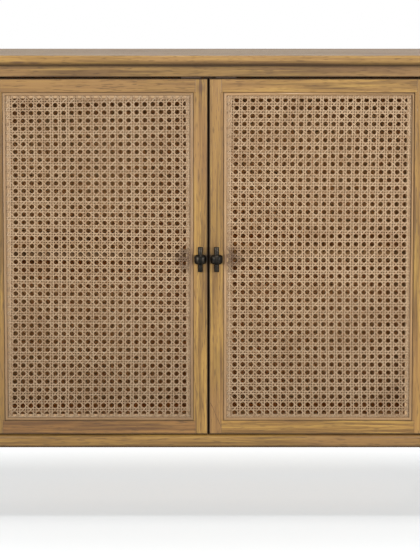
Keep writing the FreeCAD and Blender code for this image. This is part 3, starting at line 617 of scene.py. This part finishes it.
# Cane doors: six-way weave, pairs up and across and single strands on both diagonals
cane = {
    # centres of the corner holes: top left, top right, bottom left, bottom right, in mm, and how far
    # the middle of the left and of the right edge is drawn sideways and up, because webbing never hangs true
    "left": {"columns": 22, "rows": 40, "tone": 0.87, "bow": ((2.5, 5.9), (0.8, 0.4)),
             "corners": ((-379.3, 819.3), (-45.3, 822.7), (-385.0, 207.6), (-48.0, 209.8))},
    "right": {"columns": 23, "rows": 40, "tone": 0.95, "bow": ((-1.3, 2.9), (-4.1, 2.3)),
              "corners": ((39.4, 830.1), (389.0, 830.1), (36.0, 210.4), (390.3, 210.0))},
    "margin": 3,                 # strands beyond the corner holes, in pitches
    "pair": 0.15,                # half the distance within a pair, in pitches
    "halfWidth": 1.30 * mm,
    "crown": 0.66 * mm,          # half the flat crown of a strand
    "halfThick": 0.36 * mm,
    "rise": 0.40 * mm,           # how far a strand goes over or under
}


def onPanel(layout, column, row):
    # place of a point of the weave; holes are at whole columns and rows, counted from the top left
    s = column / (layout["columns"] - 1)
    t = row / (layout["rows"] - 1)
    place = []
    for axis in (0, 1):
        a, b, c, d = (corner[axis] for corner in layout["corners"])
        drawn = (layout["bow"][0][axis] * (1 - s) + layout["bow"][1][axis] * s) * 4 * t * (1 - t)
        place.append(((a * (1 - s) + b * s) * (1 - t) + (c * (1 - s) + d * s) * t + drawn) * mm)
    return place


def strandRuns(layout):
    # yields each strand as points (x, z, level); level is +1 over and -1 under
    pair = cane["pair"]
    crossings = (-0.5 + pair, -pair, pair, 0.5 - pair)
    columns = range(-cane["margin"], layout["columns"] + cane["margin"])
    rows = range(-cane["margin"], layout["rows"] + cane["margin"])
    for k in columns:
        for side in (-1, 1):
            yield [(*onPanel(layout, k + 0.5 + side * pair, m + 0.5 + c), side if c > 0 else -side)
                   for m in rows for c in crossings]
    for m in rows:
        for side in (-1, 1):
            yield [(*onPanel(layout, k + 0.5 + c, m + 0.5 + side * pair), -side if c > 0 else side)
                   for k in columns for c in crossings]
    for slope in (-1, 1):
        for start in range(rows[0] - columns[-1] - 2, rows[-1] + columns[-1] + 2):
            yield [(*onPanel(layout, k + 0.5 + c, start + 0.5 + slope * (k + 0.5 + c)),
                    slope if abs(c) == pair else -slope) for k in columns for c in crossings]


def trimRun(run, low, high):
    # cuts a strand off at the edges of its panel
    kept = []
    for (x0, z0, l0), (x1, z1, l1) in zip(run, run[1:]):
        start, end = 0.0, 1.0
        for a, b, least, most in ((x0, x1, low.x, high.x), (z0, z1, low.z, high.z)):
            if abs(b - a) < 1e-9:
                if not least <= a <= most:
                    end = -1.0
                continue
            first, last = sorted(((least - a) / (b - a), (most - a) / (b - a)))
            start, end = max(start, first), min(end, last)
        if end - start < 1e-4:
            continue
        for t in (start, end):
            point = (x0 + (x1 - x0) * t, z0 + (z1 - z0) * t, l0 + (l1 - l0) * t)
            if not kept or math.dist(kept[-1][:2], point[:2]) > 0.05 * mm:
                kept.append(point)
    return kept


def weaveCane(side):
    node = side + "_cane_panel"
    low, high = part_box(node)
    middle = (low.y + high.y) / 2
    draw = random.Random(side)
    points, faces, tones, places = [], [], [], []
    profile = ((-cane["halfWidth"], -cane["halfThick"]), (-cane["crown"], cane["halfThick"]),
               (cane["crown"], cane["halfThick"]), (cane["halfWidth"], -cane["halfThick"]))
    inset = Vector((cane["halfWidth"], 0, cane["halfWidth"]))
    for number, run in enumerate(strandRuns(cane[side])):
        run = trimRun(run, low + inset, high - inset)
        tone = draw.random()
        if len(run) < 3:
            continue
        along = Vector((run[-1][0] - run[0][0], 0, run[-1][1] - run[0][1])).normalized()
        across = along.cross(Vector((0, 1, 0)))
        first = len(points)
        travelled = 0.0
        for i, (x, z, level) in enumerate(run):
            if i:
                travelled += math.dist(run[i - 1][:2], (x, z))
            for offset, height in profile:
                y = middle - level * cane["rise"] - height
                points.append(Vector((x, y, z)) + across * offset)
                tones.append(tone)
                places.append((offset, travelled, number * 0.05))    # the last sets strands apart
        count = len(profile)
        for i in range(len(run) - 1):
            base = first + i * count
            for j in range(count):
                k = (j + 1) % count
                faces.append((base + j, base + k, base + count + k, base + count + j))
        faces.append(tuple(range(first, first + count)))
        faces.append(tuple(reversed(range(len(points) - count, len(points)))))
    mesh = bpy.data.meshes.new(side + "_woven_cane")
    mesh.from_pydata(points, [], faces)
    mesh.attributes.new("strandTone", "FLOAT", "POINT").data.foreach_set("value", tones)
    mesh.attributes.new("strandPlace", "FLOAT_VECTOR", "POINT").data.foreach_set(
        "vector", [c for place in places for c in place])
    mesh.materials.append(makeCane("rattan_" + node, side, low, high, 1.0 if side == "left" else 8.0))
    piece = addObject(side + "_woven_cane", mesh)
    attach(piece, side + "_door")
    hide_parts(node)
    print("cane woven:", side, len(faces), "faces")


for side in ("left", "right"):
    weaveCane(side)


# Knobs: a turned bar with a thick collar, on a short neck
knob = {"barRadius": 5.0 * mm, "ease": 0.8 * mm, "fillet": 0.5 * mm,
        "collar": 9.5 * mm, "collarEase": 4.0 * mm,
        # points of the collar's round shoulder, in easings from its rim and its top
        "shoulder": ((0, 1), (0.35, 0.4), (1, 0.08), (1.3, 0)),
        "neckFlare": 1.0 * mm, "neckEase": 0.3 * mm, "around": 48}


def turnKnob(side):
    barNode = side + "_knob_bar"
    stemNode = side + "_knob_stem"
    low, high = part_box(barNode)
    centre = (low + high) / 2
    half = (high.z - low.z) / 2
    radius = knob["barRadius"]
    ease = knob["ease"]
    fillet = knob["fillet"]
    rim = (high.x - low.x) / 2
    thick = knob["collar"]
    cut = knob["collarEase"]
    upper = [(rim - a * cut, thick - b * cut) for a, b in knob["shoulder"]]
    upper += [(radius + fillet, thick), (radius, thick + fillet), (radius, half - ease),
              (radius - 0.3 * ease, half - 0.3 * ease), (radius - ease, half), (0, half)]
    profile = [(r, -h) for r, h in reversed(upper)] + upper
    bm = bmesh.new()
    addTurned(bm, Matrix.Translation(centre), profile, knob["around"])
    newPiece(side + "_turned_knob", bm, side + "_door", finish["blackenedIron"], barNode)
    low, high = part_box(stemNode)
    length = high.y - low.y
    radius = (high.z - low.z) / 2
    flare = knob["neckFlare"]
    ease = knob["neckEase"]
    profile = [(0, 0), (radius - ease, 0), (radius, ease), (radius, flare), (radius - 0.6 * flare, 2 * flare),
               (radius - flare, 3 * flare), (radius - flare, length), (0, length)]
    bm = bmesh.new()
    place = facing((centre.x, high.y, centre.z), (0, -1, 0))
    addTurned(bm, place, profile, knob["around"])
    newPiece(side + "_knob_neck", bm, side + "_door", finish["blackenedIron"], stemNode)


for side in ("left", "right"):
    turnKnob(side)
print("knobs turned")


# Screws: countersunk heads with a cross recess, on a plain shank. Sizes are shares of the head's radius.
screw = {"arm": 0.52, "web": 0.20, "depth": 0.35, "taper": 0.55, "headDepth": 0.55, "shank": 0.5,
         "corners": 12,          # of the cross
         "thickest": 1.5 * mm,   # radius that no shank goes over
         "dome": 0.5 * mm}       # height of the knob screws' heads


def addScrew(bm, place, headRadius, shankRadius, length, dome):
    # the local Z of place looks out of the head, whose rim is at 0
    corners = screw["corners"]
    around = 2 * corners
    step = 2 * math.pi / around

    def addPoint(radius, turn, height):
        return bm.verts.new(place @ Vector((radius * math.cos(turn), radius * math.sin(turn), height)))

    ring = [addPoint(headRadius, step * (i - 1), 0) for i in range(around)]
    recess = []
    for scale, height in ((1.0, dome), (screw["taper"], dome - screw["depth"] * headRadius)):
        # every third corner is an inner one, between two arms
        reaches = [screw["web"] * math.sqrt(2) if k % 3 == 2 else screw["arm"] for k in range(corners)]
        recess.append([addPoint(scale * headRadius * reach, step * (2 * k - 1), height)
                       for k, reach in enumerate(reaches)])
    for k in range(corners):
        n = (k + 1) % corners
        bm.faces.new((ring[2 * k], ring[2 * k + 1], ring[(2 * k + 2) % around], recess[0][n], recess[0][k]))
        bm.faces.new((recess[0][k], recess[0][n], recess[1][n], recess[1][k]))
    bm.faces.new(recess[1])
    below = ring
    headDepth = screw["headDepth"] * headRadius
    for radius, height in ((shankRadius, -headDepth), (shankRadius, 2 * shankRadius - length), (0, -length)):
        tip = [addPoint(radius, step * (i - 1), height) for i in range(around if radius else 1)]
        for i in range(around):
            j = (i + 1) % around
            bm.faces.new(list(dict.fromkeys((below[i], tip[i % len(tip)], tip[j % len(tip)], below[j]))))
        below = tip


def driveScrews(node, name, body, material, dome):
    bm = bmesh.new()
    for points in solidsOf(node):
        low, high = boxOf(points)
        size = high - low
        axis = max(range(3), key=lambda i: size[i])
        middle = (low + high) / 2
        others = [i for i in range(3) if i != axis]
        # the head is at the wider end
        spread = {}
        for end in (low[axis], high[axis]):
            near = [p for p in points if abs(p[axis] - end) < 0.05 * mm]
            spread[end] = max(math.hypot(*(p[i] - middle[i] for i in others)) for p in near)
        headEnd = max(spread, key=spread.get)
        direction = Vector()
        direction[axis] = 1 if headEnd == high[axis] else -1
        middle[axis] = headEnd
        headRadius = max(size[i] for i in others) / 2
        shankRadius = min(screw["shank"] * headRadius, screw["thickest"])
        place = facing(middle - direction * dome, direction)
        addScrew(bm, place, headRadius, shankRadius, size[axis] - dome, dome)
    newPiece(name, bm, body, material, node)


driveScrews("case_screws", "case_screw_heads", "carcase", finish["bronzedSteel"], 0.0)
for side in ("left", "right"):
    door = side + "_door"
    driveScrews(door + "_screws", door + "_screw_heads", door, finish["bronzedSteel"], 0.0)
    driveScrews(side + "_knob_screw", side + "_knob_screw_head", door, finish["zincSteel"], screw["dome"])
print("screws driven")


# Small metal and plastic parts
small = {"pinAround": 24, "pinEase": 0.6 * mm, "glideAround": 40, "glideEase": 1.2 * mm, "ease": 0.2 * mm}
smallFinish = {"catch_housings": "mouldedAbs", "catch_magnets": "sinteredFerrite", "leg_bolts": "zincSteel",
               "left_strike_plate": "zincSteel", "right_strike_plate": "zincSteel"}
bm = bmesh.new()
for points in solidsOf("shelf_pins"):
    low, high = boxOf(points)
    start = (low.x, (low.y + high.y) / 2, (low.z + high.z) / 2)
    profile = easedRod((high.z - low.z) / 2, high.x - low.x, small["pinEase"])
    addTurned(bm, facing(start, (1, 0, 0)), profile, small["pinAround"])
newPiece("shelf_pegs", bm, "carcase", finish["zincSteel"], "shelf_pins")

bm = bmesh.new()
for points in solidsOf("foot_glides"):
    low, high = boxOf(points)
    radius = (high.x - low.x) / 2
    thick = high.z - low.z
    ease = small["glideEase"]
    middle = (low + high) / 2
    profile = [(0, 0), (radius - ease, 0), (radius - 0.3 * ease, 0.3 * ease), (radius, ease), (radius, thick),
               (0, thick)]
    addTurned(bm, Matrix.Translation((middle.x, middle.y, low.z)), profile, small["glideAround"])
newPiece("floor_glides", bm, "carcase", finish["mouldedNylon"], "foot_glides")

for node, name in smallFinish.items():
    dress(node, finish[name])
    easeEdges(node, small["ease"])
print("small parts dressed")


# Hinges: two leaves and a rolled barrel each, the lower knuckle on the case and the upper on the door
hinge = {"leaf": 0.9 * mm, "gap": 0.4 * mm, "knuckleGap": 0.2 * mm, "ease": 0.2 * mm, "around": 32,
         # round end of a pin: a share of its radius, the height there and that of the full radius
         "pinNose": (0.6, 0.1 * mm, 0.6 * mm)}
pivots = {joint["child"]: Vector(joint["pos_m"]) for joint in frame["joints"]}


def rollHinges(node, name, body, pivot, outward, lower):
    bm = bmesh.new()
    leaf = hinge["leaf"]
    gap = hinge["knuckleGap"]
    ease = hinge["ease"]
    for points in solidsOf(node):
        low, high = boxOf(points)
        radius = pivot.y - low.y
        middle = (low.z + high.z) / 2
        foot, head = (low.z, middle - gap / 2) if lower else (middle + gap / 2, high.z)
        near, far = sorted(pivot.x + outward * (hinge["gap"] / 2 + t) for t in (0, leaf))
        start = pivot.y + radius + gap
        addBlock(bm, (near, start, low.z), (far, high.y, high.z), ease)
        addBlock(bm, (near, pivot.y, foot), (far, start + leaf, head), ease)
        barrel = easedRod(radius, head - foot, ease)
        addTurned(bm, Matrix.Translation((pivot.x, pivot.y, foot)), barrel, hinge["around"])
    newPiece(name, bm, body, finish["bronzedSteel"], node)


for side, sign in (("left", -1), ("right", 1)):
    pivot = pivots[side + "_door"]
    rollHinges(side + "_post_hinge_leaves", side + "_post_hinges", "carcase", pivot, sign, True)
    rollHinges(side + "_door_hinge_leaves", side + "_door_hinges", side + "_door", pivot, -sign, False)
bm = bmesh.new()
share, tip, full = hinge["pinNose"]
for points in solidsOf("hinge_pins"):
    low, high = boxOf(points)
    radius = (high.x - low.x) / 2
    tall = high.z - low.z
    middle = (low + high) / 2
    nose = [(0, 0), (share * radius, tip), (radius, full)]
    profile = nose + [(r, tall - h) for r, h in reversed(nose)]
    addTurned(bm, Matrix.Translation((middle.x, middle.y, low.z)), profile, hinge["around"])
newPiece("hinge_pivots", bm, "carcase", finish["zincSteel"], "hinge_pins")
print("hinges rolled")


# Panel pins: small domed heads that hold the back in its rebates
panelPin = {"spacing": 105 * mm, "inset": 5 * mm, "radius": 1.6 * mm, "shank": 0.64 * mm, "neck": 0.2 * mm,
            "dome": 0.5 * mm, "length": 15 * mm, "around": 16}
low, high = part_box("back_panel")
across = [low.x + panelPin["inset"], high.x - panelPin["inset"]]
up = [low.z + panelPin["inset"], high.z - panelPin["inset"]]
spots = []
for start, end, fixed, upright in ((*across, up[0], False), (*across, up[1], False),
                                   (*up, across[0], True), (*up, across[1], True)):
    count = round((end - start) / panelPin["spacing"])
    # the corners belong to the level rows
    for i in range(1, count) if upright else range(count + 1):
        along = start + (end - start) * i / count
        spots.append((fixed, along) if upright else (along, fixed))
radius = panelPin["radius"]
shank = panelPin["shank"]
dome = panelPin["dome"]
tip = -panelPin["length"]
profile = [(0, tip), (shank, tip + 2 * shank), (shank, -panelPin["neck"]), (radius, 0),
           (0.7 * radius, 0.7 * dome), (0, dome)]
bm = bmesh.new()
for x, z in spots:
    addTurned(bm, facing((x, high.y, z), (0, 1, 0)), profile, panelPin["around"])
pins = newPiece("back_panel_pins", bm, "carcase", finish["zincSteel"])
print("panel pins:", len(spots))


# Stage: pale floor, soft light from the front, both sides, above and behind, camera at eye height in front
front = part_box("left_door_top_rail")[0].y
stage = {
    "floor": "#cdcfd0", "floorSize": 40.0,
    # the sweep's own glow, weaker near the cabinet so that its shadow shows, and painting part of the
    # shadow's soft edge
    # where it rises: strength near the cabinet and far off, where it starts to rise and is full, how that
    # counts along each axis, and tint
    "glow": (0.59, 1.0), "glowReach": (0.32, 1.1), "glowShape": (0.45, 1.0, 1.0),
    "glowTint": (0.975, 1.0, 1.01, 1.0),
    "fill": 0.10,                # how much of the white surroundings lights the cabinet
    # place, aim, width and height in metres, and watts
    "lamps": {
        "frontSoftbox": ((0.3, -4.6, 1.4), (0.0, -0.2, 0.5), (1.6, 0.6), 38),
        "leftSoftbox": ((-2.9, -2.5, 0.9), (0.0, -0.2, 0.5), (0.32, 0.32), 82),
        "rightSoftbox": ((2.9, -2.5, 0.9), (0.0, -0.2, 0.5), (0.32, 0.32), 91),
        "overheadSoftbox": ((0.0, -0.37, 4.2), (0.0, -0.36, 0.0), (1.0, 0.86), 60),
        "backSoftbox": ((0.5, 4.4, 2.0), (0.0, 0.4, 0.4), (1.8, 1.0), 50),
    },
    "offFloor": ("leftSoftbox", "rightSoftbox"), "noGlare": ("backSoftbox",),
    # down is in degrees; the focal length is in pixels of a frame this many pixels along its longer side
    "camera": {"at": (0.003, front - 5.0, 1.0775), "down": 6.86, "focal": 2554, "frame": 560, "sensor": 36.0},
}


def seenDirectly(tree):
    # 1 for what the camera sees, in gloss or glass too, and 0 for what lights a surface
    rays = addNode(tree, "LightPath", {}).outputs
    seen = addNode(tree, "Math", {0: rays["Is Camera Ray"], 1: rays["Is Glossy Ray"]}, operation="MAXIMUM")
    return addNode(tree, "Math", {0: seen, 1: rays["Is Transmission Ray"]}, operation="MAXIMUM")


mesh = bpy.data.meshes.new("floor")
half = stage["floorSize"] / 2
mesh.from_pydata([(-half, -half, 0), (half, -half, 0), (half, half, 0), (-half, half, 0)], [], [(0, 1, 2, 3)])
floor = addObject("floor", mesh)
# painted studio floor: even and matt; the glow only lifts what the camera and reflections see
material, tree, shader = newMaterial("mattFloorPaint", Roughness=0.9, Emission_Color=stage["glowTint"],
                                     Base_Color=linear(stage["floor"]))
# the sweep behind and around glows white; near the cabinet the glow is weaker, and where it rises it paints
# part of the soft edge of the cabinet's shadow
coords = addNode(tree, "TexCoord", {}).outputs["Object"]
away = addNode(tree, "VectorMath", {0: coords, 1: stage["glowShape"]}, operation="MULTIPLY")
away = addNode(tree, "VectorMath", {0: away}, operation="LENGTH").outputs["Value"]
start, full = stage["glowReach"]
near, far = stage["glow"]
glowHere = addNode(tree, "MapRange", {0: away, 1: start, 2: full, 3: near, 4: far}, **soft)
glow = addNode(tree, "Math", {0: seenDirectly(tree), 1: glowHere}, operation="MULTIPLY")
tree.links.new(glow.outputs[0], shader.inputs["Emission Strength"])
mesh.materials.append(material)

world = bpy.data.worlds.new("studio")
bpy.context.scene.world = world
world.use_nodes = True
tree = world.node_tree
strength = addNode(tree, "MapRange", {0: seenDirectly(tree), 3: stage["fill"], 4: 1.0})
sky = tree.nodes["Background"]
sky.inputs["Color"].default_value = (1, 1, 1, 1)
tree.links.new(strength.outputs[0], sky.inputs["Strength"])

# the side lamps are flagged off the floor, which only keeps the shadow from above
offFloor = bpy.data.collections.new("off floor")
offFloor.objects.link(floor)
offFloor.collection_objects[0].light_linking.link_state = "EXCLUDE"
for name, (at, aim, size, watts) in stage["lamps"].items():
    lamp = bpy.data.lights.new(name, "AREA")
    lamp.shape = "RECTANGLE"
    lamp.size, lamp.size_y = size
    lamp.energy = watts
    holder = addObject(name, lamp)
    # a lamp shines along its local -Z
    holder.matrix_world = facing(at, Vector(at) - Vector(aim))
    holder.visible_glossy = name not in stage["noGlare"]
    if name in stage["offFloor"]:
        holder.light_linking.receiver_collection = offFloor

view = stage["camera"]
lens = bpy.data.cameras.new("camera")
lens.lens = view["focal"] * view["sensor"] / view["frame"]
lens.sensor_width = view["sensor"]
camera = addObject("camera", lens)
camera.location = view["at"]
camera.rotation_euler = (math.radians(90 - view["down"]), 0, 0)
bpy.context.scene.camera = camera
bpy.context.scene.view_settings.view_transform = "Standard"
print("stage set")
